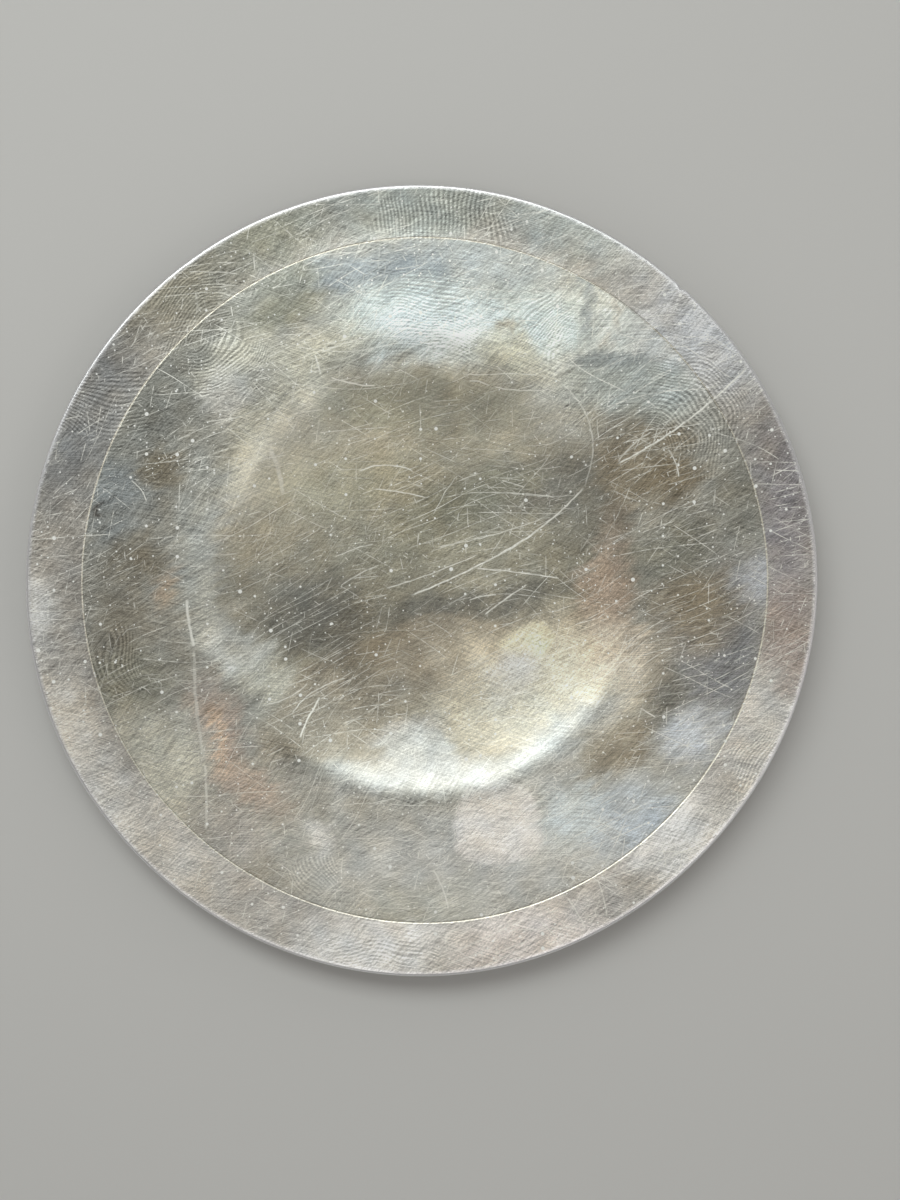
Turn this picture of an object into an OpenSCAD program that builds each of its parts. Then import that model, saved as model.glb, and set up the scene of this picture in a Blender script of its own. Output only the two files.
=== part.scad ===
// Communion plate: one disc of sheet metal, sunk to a shallow well inside a wide flange.
// The origin is at the middle of the flat underside that the plate rests on, and +Z is up.
// All sizes are in millimetres and all angles in degrees.

/* [Plate] */
// Outside diameter of the rim
plate_d = 130; // [124:1:150]
// Thickness of the sheet
sheet_t = 0.9; // [0.6:0.1:1.4]

/* [Well] */
// Diameter of the flat floor of the well
floor_d = 30; // [20:1:50]
// Diameter at which the wall of the well ends and the shoulder turns over
shoulder_d = 68.5; // [56:0.5:80]
// Steepest slope of the wall, reached at the shoulder
wall_slope = 18; // [8:0.5:25]
// Radius of the rounded shoulder, measured on the upper side
shoulder_r = 14.5; // [6:0.5:20]

/* [Flange] */
// Slope of the flange, which rises outward
flange_slope = 2; // [0:0.5:3]
// Slope of the band between the engraved line and the rim
band_slope = 8; // [3.5:0.5:8]
// Radius of the soft bend between the flange and the band
band_bend_r = 40; // [10:5:40]

/* [Engraved line] */
// Diameter of the ring that is engraved round the flange
line_d = 112.8; // [100:0.2:114]
// Width of the engraved line
line_w = 0.3; // [0.2:0.05:0.5]
// Depth of the engraved line
line_depth = 0.08; // [0.04:0.02:0.14]

/* [Hidden] */
$fn = 180;

// Steps that each curved stretch of the outline is divided into
wall_steps = 18;
shoulder_steps = 10;
band_steps = 4;
rim_steps = 12;

// A station is [radius, height, heading] at a point of the line that runs midway through the sheet.
// The normal of a station points out of the upper side.
function point(s) = [s[0], s[1]];
function normal(s) = [-sin(s[2]), cos(s[2])];

// Goes straight on, until the station is at the given radius
function straight(s, radius) =
    [radius, s[1] + (radius - s[0]) * tan(s[2]), s[2]];

// Turns on an arc to a new heading: a positive arc radius turns up, a negative one turns down
function bend(s, arc_r, heading, steps) =
    let (centre = point(s) + arc_r * normal(s))
    [for (i = [1 : steps])
        let (
            a = s[2] + (heading - s[2]) * i / steps,
            p = centre - arc_r * [-sin(a), cos(a)]
        )
        [p[0], p[1], a]];

function last(list) = list[len(list) - 1];

// The middle of the sheet, from the axis out to the rim
wall_r = (shoulder_d - floor_d) / 2 / sin(wall_slope);
centre_station = [0, sheet_t / 2, 0];
floor_edge = straight(centre_station, floor_d / 2);
wall = bend(floor_edge, wall_r, wall_slope, wall_steps);
shoulder = bend(last(wall), sheet_t / 2 - shoulder_r, flange_slope, shoulder_steps);
line_station = straight(last(shoulder), line_d / 2);
band = bend(line_station, band_bend_r, band_slope, band_steps);
rim_station = straight(last(band), (plate_d - sheet_t) / 2);
stations = concat([centre_station, floor_edge], wall, shoulder, [line_station], band, [rim_station]);

// The two sides of the sheet and its rounded edge
upper_side = [for (s = stations) point(s) + normal(s) * sheet_t / 2];
under_side = [for (s = stations) point(s) - normal(s) * sheet_t / 2];
rim_edge = [for (i = [1 : rim_steps - 1])
    let (a = rim_station[2] + 90 - 180 * i / rim_steps)
    point(rim_station) + sheet_t / 2 * [cos(a), sin(a)]];
under_side_inward = [for (i = [len(under_side) - 1 : -1 : 0]) under_side[i]];

// The engraved line is the cut of a round-nosed tool
tool_r = (pow(line_w / 2, 2) + pow(line_depth, 2)) / (2 * line_depth);
tool_centre = point(line_station) + normal(line_station) * (sheet_t / 2 + tool_r - line_depth);

module plate() {
    color([0.66, 0.64, 0.58])
        rotate_extrude()
            difference() {
                polygon(concat(upper_side, rim_edge, under_side_inward));
                translate(tool_centre)
                    circle(r = tool_r);
            }
}

plate();
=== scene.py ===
"""Looks of the communion plate: a finely meshed plate with its small irregularities, its tarnished
silver, and a plain studio seen from straight above. Lengths are in millimetres until a mesh, light
or camera is made, and angles are in degrees unless a name says otherwise."""
import math

import bpy
import numpy as np
from mathutils import Matrix, Vector, noise


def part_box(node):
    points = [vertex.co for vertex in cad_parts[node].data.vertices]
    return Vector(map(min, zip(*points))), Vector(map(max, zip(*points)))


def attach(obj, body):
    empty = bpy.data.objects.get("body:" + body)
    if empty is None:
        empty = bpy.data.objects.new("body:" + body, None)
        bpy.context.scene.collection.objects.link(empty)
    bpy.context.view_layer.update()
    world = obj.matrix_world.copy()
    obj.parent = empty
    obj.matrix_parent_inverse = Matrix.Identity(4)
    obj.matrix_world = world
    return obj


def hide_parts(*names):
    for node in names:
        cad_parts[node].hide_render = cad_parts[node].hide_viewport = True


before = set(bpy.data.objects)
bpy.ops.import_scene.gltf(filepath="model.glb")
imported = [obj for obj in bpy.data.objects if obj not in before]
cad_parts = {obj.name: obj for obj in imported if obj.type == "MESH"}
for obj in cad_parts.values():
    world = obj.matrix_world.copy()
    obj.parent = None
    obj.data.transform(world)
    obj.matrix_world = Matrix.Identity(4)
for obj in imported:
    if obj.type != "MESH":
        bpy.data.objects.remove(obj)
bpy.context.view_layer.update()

MM = 0.001

# The plate's driving sizes: the outer ones come from the frame, and the inner ones are those of the
# CAD model
low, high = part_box("plate")
RIM_R = high.x / MM
HEIGHT = high.z / MM
SHEET = 0.9
FLOOR_R = 15.0
SHOULDER_R = 34.25
WALL_SLOPE = 18.0
SHOULDER_BEND_R = 14.5
FLANGE_SLOPE = 2.0
LINE_R = 56.4
LINE_WIDTH = 0.3
LINE_DEPTH = 0.08
BAND_BEND_R = 40.0
BAND_SLOPE = 8.0

# How the real plate differs from a perfect turned one
TURNING_CENTRE = (0.55, 0.05)              # of the well and the line, seen from the rim's centre
OUT_OF_ROUND = ((3, 0.12, -15), (4, 0.18, 15), (5, 0.06, -30))  # order, amplitude, phase
WARP = 0.07                                # height of the sheet's slow waves
WAVES = ((26, 1.0, 3.7), (9, 0.3, 8.1))    # their size, share of that height and level of noise
WAVES_ON_FLOOR = 0.35                      # share of the waves and dents that the floor's top keeps
SOFT_SHOULDER = (80, 0.17, 2.6)            # wear of the shoulder: angle, depth and half width
NICK_ANGLE = 48.3                          # of the nick in the rim's edge
NICK_DEPTH = 0.35
NICK_HALF_WIDTH = 0.45
DENTS = ((-60.5, -2.0, 4.5, 0.10), (20, 44, 9, 0.05), (-38, 24, 11, 0.05), (31, -33, 10, 0.05),
         (-16, -47, 8, 0.04), (47, 14, 8, 0.05))                # x, y, radius, depth

# Mesh fineness: segments round the plate, steps round the edge of the rim, and steps along the
# floor, wall, shoulder, flange, each side of the engraved line, bend and band
SEGMENTS = 480
RIM_STEPS = 8
UPPER_STEPS = (20, 38, 14, 26, 6, 8, 8)
UNDER_STEPS = (12, 18, 7, 12, 1, 4, 5)

noise.seed_set(5)               # so that every run gives the same tarnish


def smooth(value, start, end):
    """0 before start, 1 after end, and a smooth step in between."""
    t = min(1.0, max(0.0, (value - start) / (end - start)))
    return t * t * (3 - 2 * t)


# ---------------------------------------------------------------- the section of the turned plate

def straight(station, radius):
    """The station at that radius, straight on along the sheet."""
    r, z, heading = station
    return radius, z + (radius - r) * math.tan(heading), heading


def bend(station, arc_r, slope, share=1.0):
    """The station a share of the way along an arc that turns the sheet to a new slope."""
    r, z, heading = station
    end = heading + (math.radians(slope) - heading) * share
    return (r + arc_r * (math.sin(end) - math.sin(heading)),
            z + arc_r * (math.cos(heading) - math.cos(end)), end)


def between(start, end, count):
    """Count stations spread evenly from start to end, without the first."""
    return [tuple(a + (b - a) * i / count for a, b in zip(start, end)) for i in range(1, count + 1)]


def arc(start, arc_r, slope, count):
    """Count stations along an arc that turns the sheet to a new slope, without the first."""
    return [bend(start, arc_r, slope, i / count) for i in range(1, count + 1)]


def middle_of_sheet(floor_n, wall_n, shoulder_n, flange_n, line_n, bend_n, band_n):
    """Stations along the middle of the sheet from its centre to its rim."""
    wall_r = (SHOULDER_R - FLOOR_R) / math.sin(math.radians(WALL_SLOPE))
    centre = (0.0, SHEET / 2, 0.0)
    floor_edge = straight(centre, FLOOR_R)
    stations = [centre] + between(centre, floor_edge, floor_n)
    stations += arc(floor_edge, wall_r, WALL_SLOPE, wall_n)
    stations += arc(stations[-1], SHEET / 2 - SHOULDER_BEND_R, FLANGE_SLOPE, shoulder_n)
    line = straight(stations[-1], LINE_R)
    stations += between(stations[-1], straight(line, LINE_R - LINE_WIDTH), flange_n)
    stations += between(stations[-1], line, line_n)
    past_line = FLANGE_SLOPE + math.degrees(LINE_WIDTH / BAND_BEND_R)
    stations += arc(line, BAND_BEND_R, past_line, line_n)
    stations += arc(stations[-1], BAND_BEND_R, BAND_SLOPE, bend_n)
    stations += between(stations[-1], straight(stations[-1], RIM_R - SHEET / 2), band_n)
    return stations


def side_of(station, side):
    """The point of the upper side (1) or the underside (-1) at a station."""
    r, z, heading = station
    return r - side * SHEET / 2 * math.sin(heading), z + side * SHEET / 2 * math.cos(heading)


def groove_depth(r):
    """Depth of the engraved line under the flange, at a radius of the turned plate."""
    across = abs(r - LINE_R) / (LINE_WIDTH / 2)
    return LINE_DEPTH * (1 - across ** 2) if across < 1 else 0.0


def section():
    """Rings of the plate as (radius, height, side), from the middle of the upper side round the rim
    to the middle of the underside. Side goes from 1 on top to 0 underneath."""
    upper = middle_of_sheet(*UPPER_STEPS)
    under = middle_of_sheet(*UNDER_STEPS)
    rings = []
    for station in upper:
        r, z = side_of(station, 1)
        rings.append((r, z - groove_depth(station[0]), 1.0))
    r, z, heading = upper[-1]
    for i in range(1, RIM_STEPS):
        share = i / RIM_STEPS
        turn = heading + math.pi * (0.5 - share)
        rings.append((r + SHEET / 2 * math.cos(turn), z + SHEET / 2 * math.sin(turn), 1 - share))
    rings += [side_of(station, -1) + (0.0,) for station in reversed(under)]
    return rings


# ---------------------------------------------------------------- the real plate's irregularities

def out_of_round(angle):
    """How far the rim stands out from a true circle at an angle, never above zero."""
    return sum(a * (math.cos(math.radians(n * angle - p)) - 1) for n, a, p in OUT_OF_ROUND)


def nick(angle):
    """Depth of the nick in the rim's edge."""
    away = (angle - NICK_ANGLE) * math.radians(RIM_R) / NICK_HALF_WIDTH
    return NICK_DEPTH * math.exp(-away ** 2)


def waves(x, y):
    """Height of the sheet's slow waves and dents, never above zero."""
    height = 0.0
    for size, share, level in WAVES:
        height += share * WARP * (noise.noise(Vector((x / size, y / size, level))) - 1)
    for dent_x, dent_y, radius, depth in DENTS:
        away = ((x - dent_x) ** 2 + (y - dent_y) ** 2) / radius ** 2
        height -= depth * math.exp(-2 * away)
    return height


def wear(r, angle):
    """How far the shoulder is worn down, which is most at one side of the plate."""
    middle, depth, half_width = SOFT_SHOULDER
    share = 0.5 + 0.5 * math.cos(math.radians(angle - middle))
    return depth * share * math.exp(-((r - SHOULDER_R - 2) / half_width) ** 2)


def place(r, z, side, angle):
    """Where a point of the perfect turned plate lies on the real one. The underside of the floor
    stays flat, because the plate rests on it."""
    turned = 1 - smooth(r, LINE_R + 1, RIM_R - 1)
    near_rim = smooth(r, RIM_R - 2, RIM_R - SHEET / 2)
    radius = r + out_of_round(angle) * (r / RIM_R) ** 2 - nick(angle) * near_rim
    x = radius * math.cos(math.radians(angle)) + TURNING_CENTRE[0] * turned
    y = radius * math.sin(math.radians(angle)) + TURNING_CENTRE[1] * turned
    off_floor = smooth(r, FLOOR_R - 2, SHOULDER_R)
    free = off_floor if side == 0 else max(off_floor, WAVES_ON_FLOOR)
    return x, y, max(0.0, z - wear(r, angle) + waves(x, y) * free)


# ---------------------------------------------------------------- tarnish, finger marks and painted highlights

# Tones of the metal, linear
BASE = (0.44, 0.43, 0.38)
BAND_BASE = (0.50, 0.475, 0.43)
UNDERSIDE = (0.44, 0.42, 0.355)
WHITE = (0.84, 0.82, 0.77)
COOL = (0.76, 0.84, 0.82)
CREAM = (1.00, 0.93, 0.70)
IVORY = (0.70, 0.68, 0.57)
STRAW = (0.74, 0.71, 0.56)
TAN = (0.46, 0.43, 0.33)
OLIVE = (0.35, 0.34, 0.26)
BROWN = (0.30, 0.26, 0.19)
DARK = (0.235, 0.23, 0.20)
SLATE = (0.37, 0.41, 0.43)
HAZE = (0.54, 0.58, 0.58)
ROSE = (0.58, 0.47, 0.38)
AMBER = (0.80, 0.60, 0.42)
LINE_GLINT_TONE = (0.95, 0.90, 0.76)
EDGE_WEAR_AND_HIGHLIGHT_TONE = (0.92, 0.91, 0.93)

LINE_GLINT = 0.11               # half width of the bright middle of the engraved line
GLINT_GAP = (53, 5)             # angle and half width of the stretch where the line's painted glint is left out
EDGE_WIDTH = 0.75               # of the rim's bright edge, rubbed metal with a painted highlight on it
UNDERSIDE_CLOUDS = 200          # how far off the underside takes its clouds

# Patches of tarnish and of cleaner metal on the upper side, with painted highlights and painted
# reflections among them, laid one over the other: middle, half length and half width, angle,
# softness of the edge, tone and strength
BAND_PATCHES = (        # outside the engraved line: lighter round the lower half, darker at the upper left and at the right
    (58, -27, 13, 7, -65, 1.0, WHITE, 0.8),
    (46, -45, 14, 8, -42, 1.0, WHITE, 0.75),
    (18, -60, 12, 6, 15, 1.0, (0.74, 0.69, 0.65), 0.9),
    (-10, -61, 12, 6, 3, 1.0, WHITE, 0.95),
    (-42, -46, 14, 7, -42, 1.0, WHITE, 0.7),
    (-31, -52, 7, 6, -30, 1.0, (0.50, 0.47, 0.42), 0.6),
    (-57, -29, 14, 6, -62, 1.0, WHITE, 0.85),
    # A painted glint at the dent in the left of the band.
    (-63, -5, 3, 6, 0, 1.2, WHITE, 1.0),
    (-56, 29, 8, 20, -27, 1.0, (0.32, 0.32, 0.31), 0.85),
    (-38, 48, 10, 7, 38, 1.0, OLIVE, 0.6),
    (-24, 58, 9, 5, 20, 1.0, (0.42, 0.42, 0.33), 0.8),
    (2, 61, 18, 5, 0, 1.0, (0.50, 0.54, 0.50), 0.8),
    (28, 57, 10, 5, -25, 1.0, (0.62, 0.67, 0.64), 0.8),
    (46, 44, 14, 8, -44, 1.0, (0.80, 0.81, 0.82), 0.85),
    (60, 12, 5, 16, 8, 1.0, (0.33, 0.31, 0.315), 0.9),
    (61, -9, 4, 9, 0, 1.0, (0.40, 0.34, 0.31), 0.85),
)
PATCHES = (
    # top of the flange
    (-9, 51, 16, 4.4, 4, 0.9, SLATE, 0.9),
    (12, 52, 10, 4, -4, 0.9, HAZE, 0.7),
    (-4, 42.5, 10, 5.5, 5, 0.9, COOL, 1.0),
    (8, 41, 8, 5.5, 0, 1.0, (0.66, 0.73, 0.72), 0.9),
    (21, 42.5, 8, 5.5, -10, 0.9, COOL, 1.0),
    (2, 40, 10, 3.8, 0, 1.0, (0.90, 0.97, 0.95), 0.9),
    (31, 46, 5, 9, 10, 0.9, (0.82, 0.84, 0.78), 0.95),
    (43, 38, 9, 5, -40, 1.0, (0.78, 0.78, 0.74), 0.8),
    (16, 37, 7, 2.8, -12, 0.9, STRAW, 0.8),
    (14.5, 41, 2.6, 0.9, 8, 0.8, (0.45, 0.36, 0.22), 0.6),
    (25, 35, 7, 4, 0, 0.9, (0.78, 0.77, 0.68), 0.8),
    (-17, 37.5, 8, 3, 12, 0.9, IVORY, 0.95),
    (-23, 50, 7, 3, 20, 1.0, OLIVE, 0.7),
    (-24, 44, 8, 3, 15, 0.9, OLIVE, 0.8),
    # left of the flange
    (-37, 43, 6, 5, 45, 1.0, DARK, 0.65),
    (-43, 31, 7, 9, -20, 1.0, DARK, 0.7),
    (-31, 37, 6, 3, 30, 0.9, IVORY, 0.7),
    (-32, 30, 3, 5, 20, 1.0, WHITE, 0.5),
    (-43, 18, 4.5, 3, 15, 0.8, BROWN, 0.9),
    (-50, 13, 5, 6, 0, 1.0, SLATE, 0.6),
    (-47, 4, 4, 4, 0, 0.9, BROWN, 0.75),
    (-49, -8, 4.5, 7, 0, 1.0, BROWN, 0.6),
    (-47, -17, 7, 5, 0, 1.0, OLIVE, 0.6),
    (-42, -1.5, 1.4, 3.2, 10, 1.2, AMBER, 0.45),
    (-52, 11.7, 1.4, 0.7, -25, 0.5, (0.10, 0.09, 0.08), 0.9),
    # lower left and bottom of the flange
    (-33, -25, 3.5, 8, 15, 1.0, ROSE, 0.85),
    # A painted reflection of a finger, in orange.
    (-33.3, -26, 1.0, 3.6, 8, 1.2, AMBER, 0.8),
    (-27, -33, 7, 3.5, -45, 1.0, ROSE, 0.7),
    (-43, -31, 7, 9, 30, 1.0, IVORY, 0.8),
    (-31, -41, 6, 4, -40, 1.0, (0.52, 0.48, 0.42), 0.8),
    (-26, -49, 5, 3.5, -30, 1.0, BROWN, 0.6),
    (-15, -50, 9, 4, -10, 1.0, (0.57, 0.55, 0.48), 0.7),
    (-17.5, -43, 2.5, 2, -30, 0.9, WHITE, 0.6),
    (5, -46, 18, 7, 0, 1.2, (0.50, 0.50, 0.47), 0.9),
    (0, -53, 10, 4, 5, 1.0, OLIVE, 0.4),
    (12, -40, 8, 6.6, 25, 0.12, (0.72, 0.69, 0.64), 0.95),
    (25, -38, 4.5, 5.5, 15, 0.9, (0.60, 0.66, 0.67), 0.85),
    (34, -41, 8, 6, 45, 1.0, (0.50, 0.54, 0.56), 0.8),
    # right of the flange
    (48, -10, 8, 16, -5, 1.2, (0.30, 0.30, 0.30), 0.8),
    (39, -18, 6.5, 5, -10, 0.8, DARK, 1.0),
    (36.5, -20, 6, 5, 30, 1.0, DARK, 0.85),
    (32, -28, 5.5, 3.5, 40, 0.8, BROWN, 0.9),
    (45, -25, 4.5, 4, 50, 0.9, (0.60, 0.63, 0.65), 0.9),
    (51, -12, 4.5, 8, -10, 1.0, (0.27, 0.28, 0.29), 0.8),
    (45, -4, 7, 6, 0, 1.0, BROWN, 0.95),
    (56, 1, 3.5, 6, 0, 1.0, (0.52, 0.54, 0.57), 0.8),
    (43, 5, 6, 5, 0, 1.0, (0.30, 0.29, 0.23), 0.85),
    (52, 12, 5, 7, 0, 1.0, (0.30, 0.29, 0.24), 0.75),
    (41, 17, 5, 4.5, 40, 0.8, BROWN, 1.0),
    (41, 24, 5, 2, -15, 0.8, BROWN, 0.8),
    (38, 31, 7, 5, 0, 1.0, (0.60, 0.64, 0.63), 0.6),
    (35, 31.5, 11, 6, -8, 0.25, (0.47, 0.50, 0.47), 0.75),
    (32, 36.8, 8, 1.5, 1, 0.4, (0.34, 0.36, 0.35), 0.8),
    (27, 46.5, 1.0, 4.5, 5, 0.8, SLATE, 0.7),
    (30.8, 43, 0.9, 4.5, 5, 0.8, (0.55, 0.50, 0.42), 0.6),
    # upper wall of the well and the floor
    (0, 4, 32, 30, 0, 0.5, TAN, 0.9),
    (0, 29.5, 15, 4.5, -2, 0.9, OLIVE, 0.95),
    (5, 29, 8, 3.5, -10, 1.0, DARK, 0.5),
    (24, 29, 5, 4, -40, 1.0, (0.58, 0.58, 0.52), 0.8),
    (-20, 31.5, 7, 2.8, 32, 0.9, IVORY, 0.85),
    (-29, 21, 9, 3, 62, 0.9, IVORY, 0.9),
    (18, 15.5, 13, 4.8, 20, 0.9, DARK, 0.85),
    (33, 17, 4.5, 8, -15, 1.0, BROWN, 0.85),
    (26, 11, 5, 6, 0, 1.0, DARK, 0.5),
    (-13, 16, 10, 4, 8, 1.0, (0.54, 0.51, 0.38), 0.7),
    (1, 7, 14, 4, 12, 1.0, (0.50, 0.48, 0.37), 0.6),
    (8, 13.5, 11, 2.8, 18, 0.8, OLIVE, 0.8),
    (-35.5, 2, 3.5, 15, 4, 1.0, (0.56, 0.58, 0.55), 0.85),
    (-30, -11, 5, 4, -40, 0.9, (0.76, 0.78, 0.74), 0.9),
    (-25, -16, 5, 3, -40, 0.9, IVORY, 0.85),
    (-17, -22, 8, 4, -40, 0.9, (0.66, 0.63, 0.53), 0.9),
    (-20, 1, 12, 9, 0, 1.2, (0.35, 0.335, 0.275), 0.8),
    (-19, -5, 9, 6.5, -25, 0.9, DARK, 0.8),
    (8, -4.6, 20, 3.0, 10, 1.1, DARK, 0.9),
    (7, -18, 34, 12, 10, 0.10, (0.405, 0.365, 0.29), 0.9),
    (-17, -9, 8, 4, -35, 0.9, DARK, 0.8),
    (-8, -12, 6, 3, 5, 0.9, BROWN, 0.6),
    # lower wall of the well, the brightest part: painted highlight, lighter tones inside and darker
    # ones near the shoulder that widen and soften the crescent of reflected light on this wall
    (20, -17, 13, 10.5, 0, 0.8, (0.88, 0.82, 0.66), 0.95),
    (32, -1, 3.6, 9.5, -4, 1.1, (0.68, 0.54, 0.42), 0.9),
    (31, -11, 5, 5, 0, 1.0, (0.88, 0.77, 0.62), 0.8),
    (17, -9.5, 5.2, 3.6, 15, 0.25, CREAM, 1.0),
    (14.5, -16, 3.6, 5, -10, 0.7, WHITE, 0.8),
    (7, -23, 10, 5, 10, 1.1, (0.78, 0.73, 0.59), 0.8),
    (-2, -25.5, 6, 2.5, 8, 0.8, WHITE, 0.6),
    (-1, -28.5, 6, 3.8, -8, 0.4, (0.72, 0.73, 0.69), 0.8),
    (3, -32.5, 15, 2.8, 3, 1.0, (0.57, 0.575, 0.55), 0.85),
    (24, -26, 11, 3, 45, 1.0, (0.62, 0.63, 0.60), 0.85),
)

# Finger marks: middle, half length and width, angle, centre of the ridges' arcs as seen from the
# middle of the mark, and spacing of the ridges
FINGER_MARKS = (
    (-37, 46, 8.5, 7, 45, 13, -15, 0.54),
    (-32, 36.5, 7.5, 6, 40, -5, 4, 0.54),
    (-49.5, 29, 9, 7, 0, 0, 15, 0.60),
    (4, 60, 12, 3.6, 0, 38, 0, 0.60),
    (2, 44.5, 8, 6, -35, 1, -15, 0.54),
    (21, 43, 6, 5, 20, 12, -8, 0.56),
    (-18, -48, 4, 5, -25, 12, 5, 0.56),
    (45, 28, 9, 9, 50, -9, -8, 0.54),
    (-6, -60.5, 9, 3, 0, -2, -15, 0.56),
    (-50, -13, 3.5, 5.5, 0, 18, 4, 0.58),
    (53.5, -30.5, 6, 4, 60, -20, 12, 0.54),
)


def drift(where, size, reach, level):
    """Smooth random offsets for an array of points, to make straight edges ragged."""
    offsets = [noise.noise_vector(Vector((x / size, y / size, level)))[:2] for x, y in where]
    return reach * np.array(offsets)


def turned_to(where, x, y, angle):
    """Points seen from (x, y) along and across a direction."""
    along = np.array((math.cos(math.radians(angle)), math.sin(math.radians(angle))))
    across = np.array((-along[1], along[0]))
    local = where - (x, y)
    return local @ along, local @ across


def brushed(where, angle, length, width, reach, level):
    """Random offsets along an angle that change quickly across it, as rubbing leaves them."""
    along, across = turned_to(where, 0, 0, angle)
    offsets = [noise.noise(Vector((a / length, b / width, level))) for a, b in zip(along, across)]
    return reach * np.outer(offsets, (math.cos(math.radians(angle)), math.sin(math.radians(angle))))


def ease(value):
    """A smooth step from 0 to 1, for an array of values."""
    value = np.clip(value, 0, 1)
    return value * value * (3 - 2 * value)


def painted(where, rubbed, base, patches):
    """A base tone with patches laid on it. Rubbed is how far each point is off for a patch with soft
    edges; crisp patches keep more of their own outline."""
    colour = np.tile(np.array(base), (len(where), 1))
    for x, y, half_length, half_width, angle, softness, tone, strength in patches:
        along, across = turned_to(where + rubbed * min(1, softness / 0.6), x, y, angle)
        reach = np.hypot(along / half_length, across / half_width)
        mask = strength * ease(0.5 + (1 - reach) / (1.35 * softness))
        colour += (np.array(tone) - colour) * mask[:, None]
    return colour


def tones(where, spun, sides):
    """Colour of the metal at each point, before the fine marks, as an array of RGBA. It holds painted
    highlights too: on the lower wall of the well, along the engraved line and at the rim's edge.
    """
    bent = where + drift(where, 12, 2.4, 1.3)
    rubbed = drift(where, 4, 1.2, 5.1) + drift(where, 1.6, 0.5, 9.2)
    rubbed += brushed(where, 24, 6, 0.9, 2.2, 4.4) + brushed(where, 60, 4, 0.9, 1.2, 6.1)
    outside = ease((spun - LINE_R) / 0.3 + 0.5)[:, None]
    upper = painted(bent, rubbed, BASE, PATCHES) * (1 - outside)
    upper += painted(bent, rubbed, BAND_BASE, BAND_PATCHES) * outside
    colour = np.where(sides[:, None] > 0.5, upper, np.array(UNDERSIDE))

    beyond = UNDERSIDE_CLOUDS * (1 - sides[:, None])
    cloud = drift(where + beyond, 14, 1.0, 8.4)
    mottle = drift(where + beyond, 3.2, 1.0, 2.2)
    colour *= 1 + 0.18 * cloud[:, :1] + 0.17 * mottle[:, :1]
    colour *= 1 + (0.045 * cloud[:, 1:] + 0.035 * mottle[:, 1:]) * np.array((1, 0, -1.4))

    # The engraved line gets a painted glint along its middle, which is left out over one stretch.
    angle = np.degrees(np.arctan2(where[:, 1], where[:, 0]))
    worn = 1 - 0.9 * ease(1.5 - np.abs(angle - GLINT_GAP[0]) / GLINT_GAP[1])
    line = ease(1.6 - np.abs(spun - LINE_R) / LINE_GLINT) * worn * (sides > 0.5)
    colour += (np.array(LINE_GLINT_TONE) - colour) * (0.85 * line)[:, None]
    # The rim's edge is painted bright all round: rubbed metal with a painted highlight.
    edge = ease((spun - RIM_R + EDGE_WIDTH) / 0.35)
    colour += (np.array(EDGE_WEAR_AND_HIGHLIGHT_TONE) - colour) * (0.8 * edge)[:, None]
    return np.column_stack((np.clip(colour, 0, 1), np.ones(len(where))))


def finger_marks(where):
    """For each point, how many ridges it is away from the middle of the strongest finger mark there,
    and how strong that mark is."""
    phase, strength = np.zeros(len(where)), np.zeros(len(where))
    swirl = where + drift(where, 7, 2.2, 6.6)
    patchy = drift(where, 4, 0.7, 3.1)[:, 0] + drift(where, 1.5, 0.35, 7.7)[:, 1]
    for x, y, half_length, half_width, angle, core_x, core_y, spacing in FINGER_MARKS:
        along, across = turned_to(where, x, y, angle)
        reach = np.hypot(along / half_length, across / half_width)
        mark = ease((1.15 - reach + patchy) / 0.5)
        core = np.array((x + core_x, y + core_y))
        stretched, narrow = turned_to(swirl, *core, angle)
        chosen = mark > strength
        phase = np.where(chosen, np.hypot(0.85 * stretched, narrow) / spacing, phase)
        strength = np.where(chosen, mark, strength)
    return phase, strength


# ---------------------------------------------------------------- the mesh

def ring_steps(radius):
    """How many segments are taken as one at a radius, so that the inner rings aren't too dense."""
    return 1 if radius > 26 else 2 if radius > 12 else 4 if radius > 5 else 8


def spread(angle):
    """Draws the evenly spaced segments together near the nick, which is narrower than they are."""
    away = angle - NICK_ANGLE
    return angle - 0.65 * away * math.exp(-(away / 3) ** 2)


def join(inner, outer):
    """Faces between two rings, where the outer ring has as many points or twice as many."""
    n = len(inner)
    if len(outer) == n:
        return [(inner[i], outer[i], outer[(i + 1) % n], inner[(i + 1) % n]) for i in range(n)]
    faces = []
    for i in range(n):
        a, b = inner[i], inner[(i + 1) % n]
        left, mid, right = outer[2 * i], outer[2 * i + 1], outer[(2 * i + 2) % len(outer)]
        faces += [(a, left, mid), (a, mid, b), (b, mid, right)]
    return faces


def add_attributes(mesh, where, spun, sides):
    """Gives each point of the mesh its turned radius, its side, its finger mark and its tone."""
    phase, strength = finger_marks(where)
    for name, values in (("spun_radius", spun), ("upper_side", sides),
                         ("ridge_phase", phase), ("ridge_strength", strength * sides)):
        attribute = mesh.attributes.new(name, "FLOAT", "POINT")
        attribute.data.foreach_set("value", values)
    paint = mesh.attributes.new("tone", "FLOAT_COLOR", "POINT")
    paint.data.foreach_set("color", tones(where, spun, sides).ravel())


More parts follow.
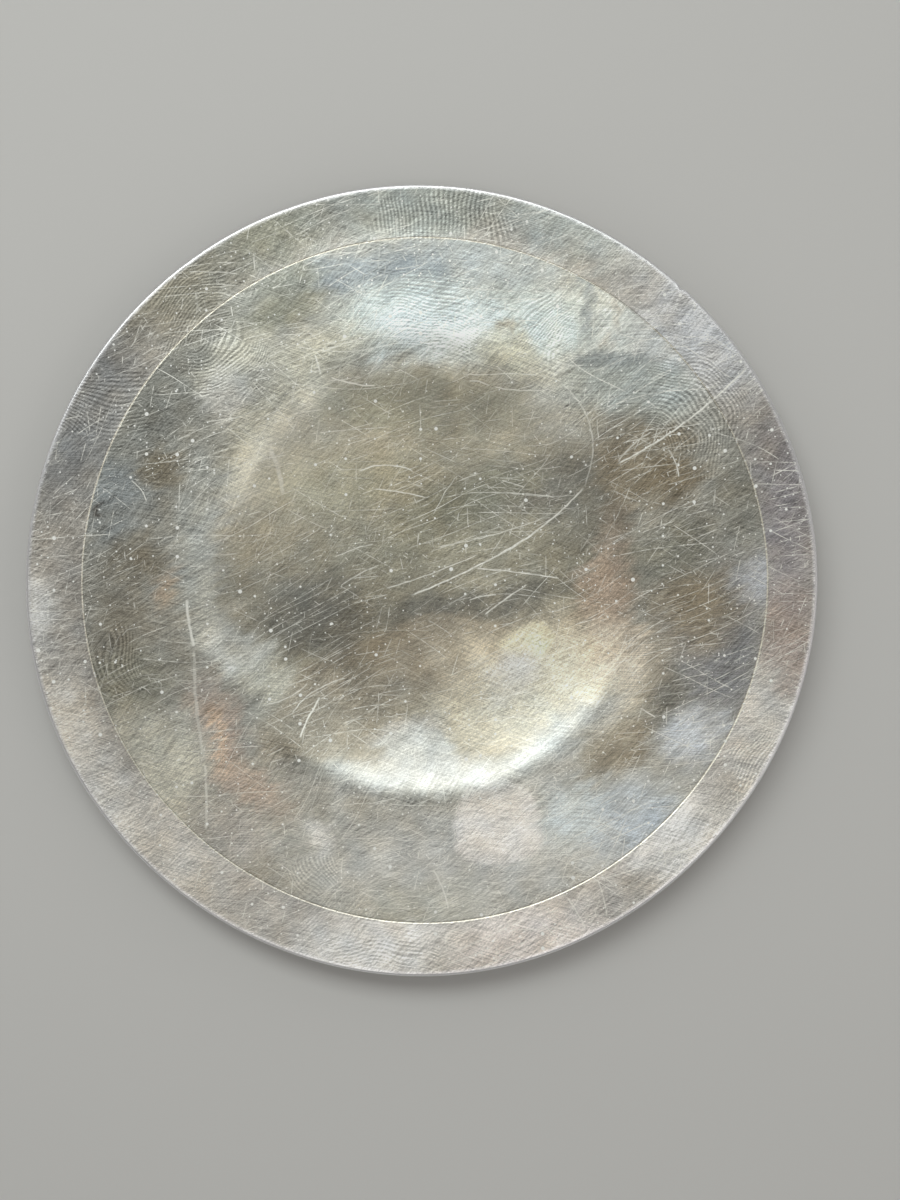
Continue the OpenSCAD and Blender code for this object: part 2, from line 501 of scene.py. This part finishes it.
def plate_mesh():
    """The plate as one closed mesh, with all that the material needs to know of each point."""
    angles = [spread(i * 360 / SEGMENTS) for i in range(SEGMENTS)]
    points, spun, sides, rings = [], [], [], []
    for r, z, side in section():
        steps = ring_steps(r)
        chosen = angles[::steps] if r > 0 else angles[:1]
        rings.append(list(range(len(points), len(points) + len(chosen))))
        for angle in chosen:
            points.append([c * MM for c in place(r, z, side, angle)])
            spun.append(r)
            sides.append(side)
    faces = []
    for first, second in zip(rings, rings[1:]):
        if len(first) == 1:
            faces += [(first[0], second[i], second[(i + 1) % len(second)]) for i in range(len(second))]
        elif len(second) == 1:
            faces += [(second[0], first[(i + 1) % len(first)], first[i]) for i in range(len(first))]
        elif len(second) >= len(first):
            faces += join(first, second)
        else:
            faces += [tuple(reversed(face)) for face in join(second, first)]
    mesh = bpy.data.meshes.new("plate_metal")
    mesh.from_pydata(points, [], faces)
    add_attributes(mesh, np.array(points)[:, :2] / MM, np.array(spun), np.array(sides))
    mesh.polygons.foreach_set("use_smooth", [True] * len(mesh.polygons))
    mesh.update()
    return mesh


# ---------------------------------------------------------------- materials

class Graph:
    """Builds the nodes of a material. Every method but feed adds what it is named after, and gives
    back the socket or sockets that it makes."""

    def __init__(self, tree):
        self.tree = tree

    def add(self, kind, inputs=None, output=0, **settings):
        node = self.tree.nodes.new("ShaderNode" + kind)
        for name, value in settings.items():
            setattr(node, name, value)
        for key, value in (inputs or {}).items():
            self.feed(node.inputs[key], value)
        return node.outputs[output]

    def feed(self, socket, value):
        if isinstance(value, bpy.types.NodeSocket):
            self.tree.links.new(value, socket)
        else:
            socket.default_value = value

    def math(self, operation, *values, clamp=False):
        return self.add("Math", dict(enumerate(values)), operation=operation, use_clamp=clamp)

    def vector(self, operation, *values):
        single = operation in ("DOT_PRODUCT", "LENGTH", "DISTANCE")
        return self.add("VectorMath", dict(enumerate(values)), "Value" if single else "Vector",
                        operation=operation)

    def scaled(self, vector, factor):
        return self.add("VectorMath", {0: vector, "Scale": factor}, operation="SCALE")

    def turned(self, vector, angle):
        """The vector seen from axes that are turned by an angle about Z, in degrees."""
        return self.add("VectorRotate", {"Vector": vector, "Angle": -math.radians(angle)},
                        rotation_type="Z_AXIS")

    def noise(self, vector, scale, detail=2.0, roughness=0.5):
        inputs = {"Vector": vector, "Scale": scale, "Detail": detail, "Roughness": roughness}
        return self.add("TexNoise", inputs, "Fac", noise_dimensions="2D")

    def noise_vector(self, vector, scale, reach):
        """A smooth random vector of about the given reach, to bend straight things with."""
        inputs = {"Vector": vector, "Scale": scale, "Detail": 1.0}
        colour = self.add("TexNoise", inputs, "Color", noise_dimensions="2D")
        centred = self.vector("SUBTRACT", colour, (0.5, 0.5, 0.5))
        flat = self.vector("MULTIPLY", centred, (1.0, 1.0, 0.0))
        return self.scaled(flat, 2 * reach)

    def parts(self, vector):
        node = self.tree.nodes.new("ShaderNodeSeparateXYZ")
        self.feed(node.inputs[0], vector)
        return node.outputs

    def step(self, value, low, high, out_low=0.0, out_high=1.0):
        """A smooth step of value from low to high, which may run either way."""
        inputs = {"Value": value, "From Min": low, "From Max": high, "To Min": out_low,
                  "To Max": out_high}
        return self.add("MapRange", inputs, interpolation_type="SMOOTHSTEP")

    def blend(self, amount, under, over):
        """The under colour, with the over colour laid on it by an amount."""
        node = self.tree.nodes.new("ShaderNodeMix")
        node.data_type = "RGBA"
        for index, value in ((0, amount), (6, under), (7, (*over, 1))):
            self.feed(node.inputs[index], value)
        return node.outputs[2]


def most(g, values):
    """The largest of several values. The values come from a generator, so that each is used as soon
    as its nodes are made: Cycles has little room for values that wait."""
    total = 0.0
    for value in values:
        total = g.math("MAXIMUM", total, value)
    return total


def streaks(g, place, angle, length, width, seed):
    """Noise that is drawn out along an angle: 0 to 1, about 0.5 on average."""
    along = g.turned(g.vector("ADD", place, (seed * 13.7, seed * 7.3, 0.0)), angle)
    return g.noise(g.vector("DIVIDE", along, (length, width, 1.0)), 1.0, 2.0, 0.7)


def scratches(g, place, length, gap, angle, tilt, width, share, seed):
    """Random thin scratches, at most one in each cell of length by gap: their mask, 0 to 1.
    Tilt is how far, in degrees, a scratch may turn away from the angle of its cell."""
    turned = g.turned(g.vector("ADD", place, (seed * 31.1, seed * 17.9, 0.0)), angle)
    grid = g.vector("MULTIPLY", turned, (1 / length, 1 / gap, 0.0))
    corner = g.vector("ADD", g.vector("FLOOR", grid), (0.0, 0.0, seed))
    first, second, third = g.parts(g.add("TexWhiteNoise", {"Vector": corner}, "Color",
                                         noise_dimensions="3D"))
    local = g.vector("SUBTRACT", g.vector("FRACTION", grid), (0.5, 0.5, 0.0))
    local = g.vector("MULTIPLY", local, (length, gap, 0.0))
    turn = g.math("MULTIPLY", g.math("SUBTRACT", first, 0.5), 2 * math.radians(tilt))
    local = g.add("VectorRotate", {"Vector": local, "Angle": turn}, rotation_type="Z_AXIS")
    along, across, _ = g.parts(local)
    offset = g.math("MULTIPLY", g.math("SUBTRACT", third, 0.5), 0.5 * gap)
    away = g.math("ABSOLUTE", g.math("ADD", across, offset))
    half = g.math("MULTIPLY", g.math("ADD", g.math("MULTIPLY", second, 0.35), 0.12), length)
    ends = g.step(g.math("SUBTRACT", half, g.math("ABSOLUTE", along)), 0.0, 0.1 * length)
    line = g.step(away, width, 0.3 * width)
    present = g.step(g.math("FRACT", g.math("MULTIPLY", second, 7.3)), 1 - share, 1.2 - 0.4 * share)
    return g.math("MULTIPLY", g.math("MULTIPLY", line, ends), present)


def specks(g, place, scale, rarity, size):
    """Specks of dust, most of them tiny: their mask, 0 to 1."""
    cell = g.tree.nodes.new("ShaderNodeTexVoronoi")
    cell.voronoi_dimensions = "2D"
    g.feed(cell.inputs["Vector"], place)
    g.feed(cell.inputs["Scale"], scale)
    chance = g.parts(cell.outputs["Color"])[0]
    reach = g.math("MULTIPLY", g.math("POWER", chance, rarity), size)
    return g.step(g.math("SUBTRACT", reach, cell.outputs["Distance"]), 0.0, 0.04)


def stroke(g, place, start, end, bow, width, strength):
    """One long scratch from start to end, bowed to its left by bow: its mask, 0 to its strength."""
    run = Vector(end) - Vector(start)
    length = run.length
    forward = run / length ** 2
    left = Vector((-run.y, run.x)) / length
    local = g.vector("SUBTRACT", place, (*start, 0.0))
    along = g.vector("DOT_PRODUCT", local, (*forward, 0.0))
    across = g.vector("DOT_PRODUCT", local, (*left, 0.0))
    crown = g.math("MULTIPLY", along, g.math("SUBTRACT", 1.0, along))
    across = g.math("ABSOLUTE", g.math("MULTIPLY_ADD", crown, -4 * bow, across))
    line = g.step(across, width, 0.3 * width, 0.0, strength)
    return g.math("MULTIPLY", line, g.step(crown, 0.0, 0.05))


# Fields of random scratches: length and gap of a cell, angle, tilt, width, share of the cells, seed
SCRATCH_FIELDS = (
    (30, 1.5, 24, 1.5, 0.09, 0.7, 1),
    (21, 1.4, 33, 3, 0.07, 0.6, 2),
    (25, 1.6, 4, 2, 0.08, 0.8, 3),
    (16, 1.9, 58, 3, 0.08, 0.35, 4),
    (14, 1.7, -32, 4, 0.08, 0.6, 5),
    (7, 1.1, 16, 6, 0.08, 0.6, 6),
    (5, 1.6, 80, 15, 0.10, 0.4, 7),
    (2.2, 1.7, 45, 90, 0.13, 0.22, 8),
)

# The same for short bright nicks
NICK_FIELDS = (
    (1.5, 1.2, 20, 90, 0.08, 0.40, 9),
    (0.9, 0.9, 50, 90, 0.08, 0.30, 10),
)

# Fields of dust: cells to the millimetre, rarity of the larger specks, and size
DUST_FIELDS = ((0.40, 6.0, 0.15), (1.0, 5.0, 0.17))

# Scratches that can be told apart on the upper side, in millimetres from the rim's centre:
# start, end, bow, half width and strength
SCRATCHES = (
    ((32, 19), (53.5, 35), -1.2, 0.22, 0.9),
    ((32.5, 19.5), (38, 24.5), 0.5, 0.18, 0.6),
    ((-2, -2.5), (20, 8.7), -0.7, 0.20, 1.0),
    ((13, 4.3), (27, 15.5), -0.8, 0.20, 0.9),
    ((27, 15.5), (22, 33.5), -3.5, 0.20, 0.5),
    ((-6, -1.3), (9.7, 4.5), -0.3, 0.14, 0.7),
    ((2.4, 5.6), (21, 10.7), -0.5, 0.14, 0.7),
    ((-14.5, 4), (-8, 6.2), 0.2, 0.14, 0.7),
    ((-13.5, -0.8), (-7, 2.7), 0.2, 0.14, 0.7),
    ((-10.5, 18.3), (-1.3, 18.4), 1.0, 0.16, 0.9),
    ((-8, 15.4), (1, 13.9), 0.2, 0.14, 0.8),
    ((9, 2.1), (23, 0.4), 0.2, 0.16, 0.9),
    ((10.5, -5.7), (17.7, -0.6), 0.1, 0.18, 0.8),
    ((11.4, 14.8), (22.4, 13.9), 0.2, 0.14, 0.7),
    ((13.4, 16.7), (17.2, 15.6), 0.1, 0.14, 0.7),
    ((2, 11), (6.2, 17.8), 0.3, 0.12, 0.6),
    ((8, -3.2), (12.6, -2.4), 0.2, 0.14, 0.8),
    ((-21.5, -22), (-12.5, -16.2), 1.0, 0.16, 0.8),
    ((-20, -26), (-16.8, -19.3), 0.2, 0.22, 1.0),
    ((-26.3, -20.6), (-18.9, -17), -0.8, 0.16, 0.7),
    ((-24.8, 21.7), (-23, 14.3), 0.3, 0.50, 0.4),
    ((2, -47.5), (4.5, -54), 0.4, 0.20, 0.8),
    ((-38, 50.5), (-30, 50.3), 0.1, 0.12, 0.7),
    ((22, 36.5), (27, 35.5), -0.6, 0.16, 0.7),
    ((-38.5, -3), (-37.3, -11), -0.2, 0.34, 0.8),
    ((-37.3, -11), (-35.5, -30), -0.5, 0.38, 0.45),
    ((-35.5, -30), (-35.3, -41), 0.2, 0.30, 0.55),
    ((-16.5, 37.5), (-8.5, 40), 0.3, 0.16, 0.6),
    ((-17.5, 37.2), (-16.5, 34), 0.1, 0.16, 0.8),
    ((-15, 33.6), (-7.4, 32.2), -0.4, 0.18, 0.8),
    ((8, 33), (11.4, 32.2), 0.2, 0.16, 0.7),
    ((12, 32), (21.2, 31.5), -0.4, 0.14, 0.7),
    ((40.8, 21.5), (42.5, 17), 0.2, 0.16, 0.8),
    ((-47.5, 16.5), (-45, 13), 0.3, 0.14, 0.8),
    ((36, -21), (38.5, -22.5), 0.1, 0.16, 0.8),
    ((24, -52), (27, -57), 0.2, 0.18, 0.6),
    ((29, -49), (30.5, -55), 0.2, 0.18, 0.5),
)


SCRATCH_TONE = (0.92, 0.91, 0.84)
DUST_TONE = (0.95, 0.95, 0.92)
ROUGHNESS = 0.27                # before the fine marks change it
RELIEF = 0.01                   # depth of the fine marks
UNDERSIDE_MARKS = 170.0         # how far off the underside takes its fine marks


def silver():
    """Old silver: hazy grey metal under a thin uneven tarnish, finely scratched and often handled."""
    material = bpy.data.materials.new("tarnished_silver")
    material.use_nodes = True
    g = Graph(material.node_tree)
    shader = material.node_tree.nodes["Principled BSDF"]

    upper = g.add("Attribute", output="Fac", attribute_name="upper_side")
    spun = g.add("Attribute", output="Fac", attribute_name="spun_radius")
    # The tone holds the tarnish together with the painted highlights and reflections.
    tone = g.add("Attribute", output="Color", attribute_name="tone")
    place = g.scaled(g.add("TexCoord", output="Object"), 1 / MM)
    other_side = g.math("MULTIPLY", g.math("SUBTRACT", 1.0, upper), UNDERSIDE_MARKS)
    place = g.vector("ADD", place, g.add("CombineXYZ", {"X": other_side, "Y": 0.0, "Z": 0.0}))
    bent = g.vector("ADD", place, g.noise_vector(place, 0.03, 4.0))

    # Fine polishing lines, the lines that turning left, grain and haze
    fine = g.math("ADD", streaks(g, bent, 26, 7.0, 0.16, 1), streaks(g, bent, -10, 6.0, 0.18, 2))
    coarse = streaks(g, bent, 48, 9.0, 0.28, 3)
    polish = g.math("MULTIPLY_ADD", coarse, 0.3, g.math("MULTIPLY", fine, 0.35))
    turning = g.noise(g.add("CombineXYZ", {"X": g.math("MULTIPLY", spun, 3.2), "Y": 0.0, "Z": 0.0}),
                      1.0, 2.0, 0.7)
    grain = g.noise(place, 1.8, 3.0, 0.8)
    haze = g.noise(bent, 4.6, 1.0)

    # Scratches: everywhere, the ones that can be told apart, and nicks
    everywhere = most(g, (scratches(g, bent, *values) for values in SCRATCH_FIELDS))
    crossing = g.vector("ADD", place, g.noise_vector(place, 0.5, 0.15))
    named = most(g, (stroke(g, crossing, *values) for values in SCRATCHES))
    broken = g.step(g.noise(place, 0.6, 3.0, 0.7), 0.3, 0.62, 0.15, 1.0)
    share = g.step(spun, SHOULDER_R, SHOULDER_R + 6, 0.75, 0.85)
    everywhere = g.math("MULTIPLY", everywhere, g.math("MULTIPLY", broken, share))
    named = g.math("MULTIPLY", named, g.math("MULTIPLY_ADD", broken, 0.5, 0.5))
    scratched = g.math("MAXIMUM", everywhere, named)
    nicks = most(g, (scratches(g, crossing, *values) for values in NICK_FIELDS))
    gathered = g.step(g.noise(place, 0.12, 2.0), 0.4, 0.65, 0.2, 0.9)
    scratched = g.math("MAXIMUM", scratched, g.math("MULTIPLY", nicks, gathered))

    # Finger marks and dust
    phase = g.add("Attribute", output="Fac", attribute_name="ridge_phase")
    strength = g.add("Attribute", output="Fac", attribute_name="ridge_strength")
    ridge = g.step(g.math("SINE", g.math("MULTIPLY", phase, math.tau)), -0.6, 0.7, -0.5, 0.5)
    ridge = g.math("MULTIPLY", ridge, strength)
    dust = most(g, (specks(g, place, *values) for values in DUST_FIELDS))

    # What they all do to the colour, roughness and relief
    contrast = g.step(spun, SHOULDER_R - 2, SHOULDER_R + 4, 2.5, 3.4)
    shade = g.math("MULTIPLY_ADD", g.math("SUBTRACT", polish, 0.5), contrast, 1.0)
    shade = g.math("MULTIPLY", shade, g.math("MULTIPLY_ADD", grain, 0.8, 0.6))
    shade = g.math("MULTIPLY", shade, g.math("MULTIPLY_ADD", haze, 0.5, 0.75))
    shade = g.math("MULTIPLY", shade, g.math("MULTIPLY_ADD", turning, 0.2, 0.9))
    shade = g.math("MULTIPLY", shade, g.math("MULTIPLY_ADD", ridge, 0.34, 1.0))
    colour = g.scaled(tone, shade)
    colour = g.blend(scratched, colour, SCRATCH_TONE)
    colour = g.blend(dust, colour, DUST_TONE)

    roughness = g.math("MULTIPLY_ADD", grain, 0.10, ROUGHNESS)
    roughness = g.math("MULTIPLY_ADD", polish, 0.08, roughness)
    roughness = g.math("MULTIPLY_ADD", ridge, 0.05, roughness)
    roughness = g.math("MULTIPLY_ADD", scratched, 0.15, roughness)
    roughness = g.math("MULTIPLY_ADD", dust, 0.4, roughness, clamp=True)

    relief = g.math("MULTIPLY_ADD", polish, 1.0, g.math("MULTIPLY", grain, 0.3))
    relief = g.math("MULTIPLY_ADD", everywhere, -1.2, relief)
    relief = g.math("MULTIPLY_ADD", turning, 0.3, relief)
    relief = g.math("MULTIPLY_ADD", ridge, 0.2, relief)
    bump = g.add("Bump", {"Height": relief, "Strength": 0.28, "Distance": RELIEF * MM}, "Normal")

    g.feed(shader.inputs["Base Color"], colour)
    g.feed(shader.inputs["Roughness"], roughness)
    g.feed(shader.inputs["Normal"], bump)
    shader.inputs["Metallic"].default_value = 1.0
    return material


# ---------------------------------------------------------------- the studio

VIEW_CENTRE = (4.8, -3.2)       # the point of the plate that the camera looks at
VIEW_HEIGHT = 196.0             # how much of the plate's plane the picture's long side takes in
CAMERA_DISTANCE = 220.0
SENSOR = 36.0


def add_camera():
    data = bpy.data.cameras.new("camera")
    data.sensor_width = SENSOR
    data.lens = SENSOR * CAMERA_DISTANCE / VIEW_HEIGHT
    data.clip_start = 0.01
    camera = bpy.data.objects.new("camera", data)
    camera.location = Vector((*VIEW_CENTRE, HEIGHT + CAMERA_DISTANCE)) * MM
    bpy.context.scene.collection.objects.link(camera)
    bpy.context.scene.camera = camera


# The soft lights: name, azimuth and tilt from straight up of the middle, roll, size, brightness and
# colour
SOFTBOXES = (
    ("key", 113, 35, -28, (560, 230), 4.1, (0.96, 1.0, 0.99)),
    ("front", 285, 13, 0, (440, 150), 1.7, (0.99, 0.98, 0.96)),
    ("right", 345, 44, 0, (420, 200), 0.7, (1.0, 0.97, 0.93)),
)
LIGHT_DISTANCE = 600.0


def add_softbox(name, azimuth, tilt, roll, size, brightness, colour):
    """A rectangular soft light that faces the plate's centre."""
    data = bpy.data.lights.new(name, "AREA")
    data.shape = "RECTANGLE"
    data.size, data.size_y = size[0] * MM, size[1] * MM
    data.energy = brightness * math.pi * data.size * data.size_y
    data.color = colour
    light = bpy.data.objects.new(name, data)
    away = Matrix.Rotation(math.radians(azimuth - 90), 3, "Z")
    away = away @ Matrix.Rotation(math.radians(-tilt), 3, "X")
    turn = away @ Matrix.Rotation(math.radians(roll), 3, "Z")
    light.location = away @ Vector((0, 0, LIGHT_DISTANCE)) * MM
    light.rotation_euler = turn.to_euler()
    bpy.context.scene.collection.objects.link(light)


FLOOR_HALF = 2500.0             # half the side of the square floor
FLOOR_GAP = 0.02                # how far it lies under the plate, so that the two don't coincide
FLOOR_TONE = (0.62, 0.61, 0.59)
FLOOR_ROUGHNESS = 0.8


def pale_floor():
    material = bpy.data.materials.new("pale_floor")
    material.use_nodes = True
    shader = material.node_tree.nodes["Principled BSDF"]
    shader.inputs["Base Color"].default_value = (*FLOOR_TONE, 1)
    shader.inputs["Roughness"].default_value = FLOOR_ROUGHNESS
    return material


def add_floor():
    mesh = bpy.data.meshes.new("floor")
    half = FLOOR_HALF * MM
    mesh.from_pydata([(-half, -half, 0), (half, -half, 0), (half, half, 0), (-half, half, 0)],
                     [], [(0, 1, 2, 3)])
    floor = bpy.data.objects.new("floor", mesh)
    floor.location.z = -FLOOR_GAP * MM
    mesh.materials.append(pale_floor())
    bpy.context.scene.collection.objects.link(floor)


# The surroundings: the sine of a height above the horizon, and the colour there
HORIZON = (0.35, (0.50, 0.50, 0.50))            # this high and lower
OVERHEAD = (0.85, (0.125, 0.12, 0.11))          # this high and higher


def add_surroundings():
    """Dim above, where the viewer stands, and bright towards the horizon."""
    world = bpy.data.worlds.new("studio")
    bpy.context.scene.world = world
    world.use_nodes = True
    nodes, links = world.node_tree.nodes, world.node_tree.links
    direction = nodes.new("ShaderNodeTexCoord")
    parts = nodes.new("ShaderNodeSeparateXYZ")
    ramp = nodes.new("ShaderNodeValToRGB")
    links.new(direction.outputs["Generated"], parts.inputs[0])
    links.new(parts.outputs["Z"], ramp.inputs[0])
    for stop, (position, colour) in zip(ramp.color_ramp.elements, (HORIZON, OVERHEAD)):
        stop.position = position
        stop.color = (*colour, 1)
    links.new(ramp.outputs[0], nodes["Background"].inputs["Color"])
    nodes["Background"].inputs["Strength"].default_value = 1.0


# ---------------------------------------------------------------- the scene

def main():
    plate = bpy.data.objects.new("plate_metal", plate_mesh())
    plate.data.materials.append(silver())
    bpy.context.scene.collection.objects.link(plate)
    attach(plate, "root")
    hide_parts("plate")
    add_floor()
    add_surroundings()
    for light in SOFTBOXES:
        add_softbox(*light)
    add_camera()
    bpy.context.scene.view_settings.view_transform = "Standard"


main()
